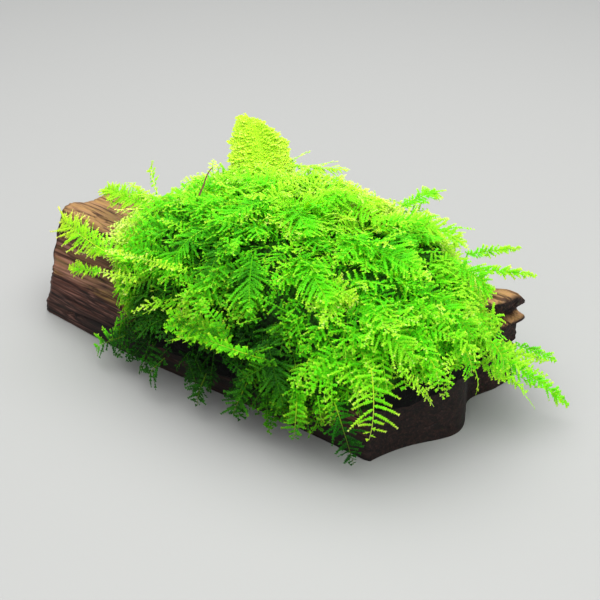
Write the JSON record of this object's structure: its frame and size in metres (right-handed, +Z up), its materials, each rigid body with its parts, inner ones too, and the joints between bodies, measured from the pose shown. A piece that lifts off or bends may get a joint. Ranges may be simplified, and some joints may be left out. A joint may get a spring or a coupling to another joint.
{
  "type": "willow moss on driftwood",
  "caption": "Aquarium moss grown over a small driftwood block: a dense green cushion of feathery fronds draped like a saddle, with a bare wooden end and a flat underside.",
  "frame": {"origin": "middle of the footprint of the whole part, on the plane of the driftwood's flat underside", "axes": "+X along the driftwood towards its end under the moss, -X to its bare end; -Y to the front shown in the picture; +Z up"},
  "size_m": [0.1221, 0.0674, 0.0462],
  "materials": {
    "driftwood": "dark reddish-brown waterlogged wood with worn grain, matt",
    "moss": "dense dark green moss shoots, matt",
    "frond": "bright yellow-green feathery fronds, thin and slightly translucent"
  },
  "bodies": {
    "root": {"driftwood": "driftwood", "frond_back_left": "frond", "frond_back_top": "frond", "frond_bare_stem": "frond", "frond_crest": "frond", "frond_crown_01": "frond", "frond_crown_02": "frond", "frond_crown_03": "frond", "frond_crown_04": "frond", "frond_crown_05": "frond", "frond_end_a": "frond", "frond_end_b": "frond", "frond_end_c": "frond", "frond_flank_01": "frond", "frond_flank_02": "frond", "frond_flank_03": "frond", "frond_front_bright": "frond", "frond_front_clear": "frond", "frond_front_dark": "frond", "frond_front_left": "frond", "frond_front_low": "frond", "frond_hem_a": "frond", "frond_hem_b": "frond", "frond_hem_c": "frond", "frond_left_long": "frond", "frond_left_low": "frond", "frond_left_thin": "frond", "frond_lower_01": "frond", "frond_lower_02": "frond", "frond_lower_03": "frond", "frond_lower_04": "frond", "frond_lower_05": "frond", "frond_lower_06": "frond", "frond_lower_07": "frond", "frond_right_back": "frond", "frond_right_thin": "frond", "frond_right_top": "frond", "frond_tail": "frond", "frond_tail_upper": "frond", "frond_upper_01": "frond", "frond_upper_02": "frond", "frond_upper_03": "frond", "frond_upper_04": "frond", "frond_upper_05": "frond", "frond_upper_06": "frond", "frond_upper_07": "frond", "frond_upper_08": "frond", "frond_upper_09": "frond", "frond_upper_10": "frond", "frond_upper_11": "frond", "moss_mat": "moss"}
  },
  "joints": []
}
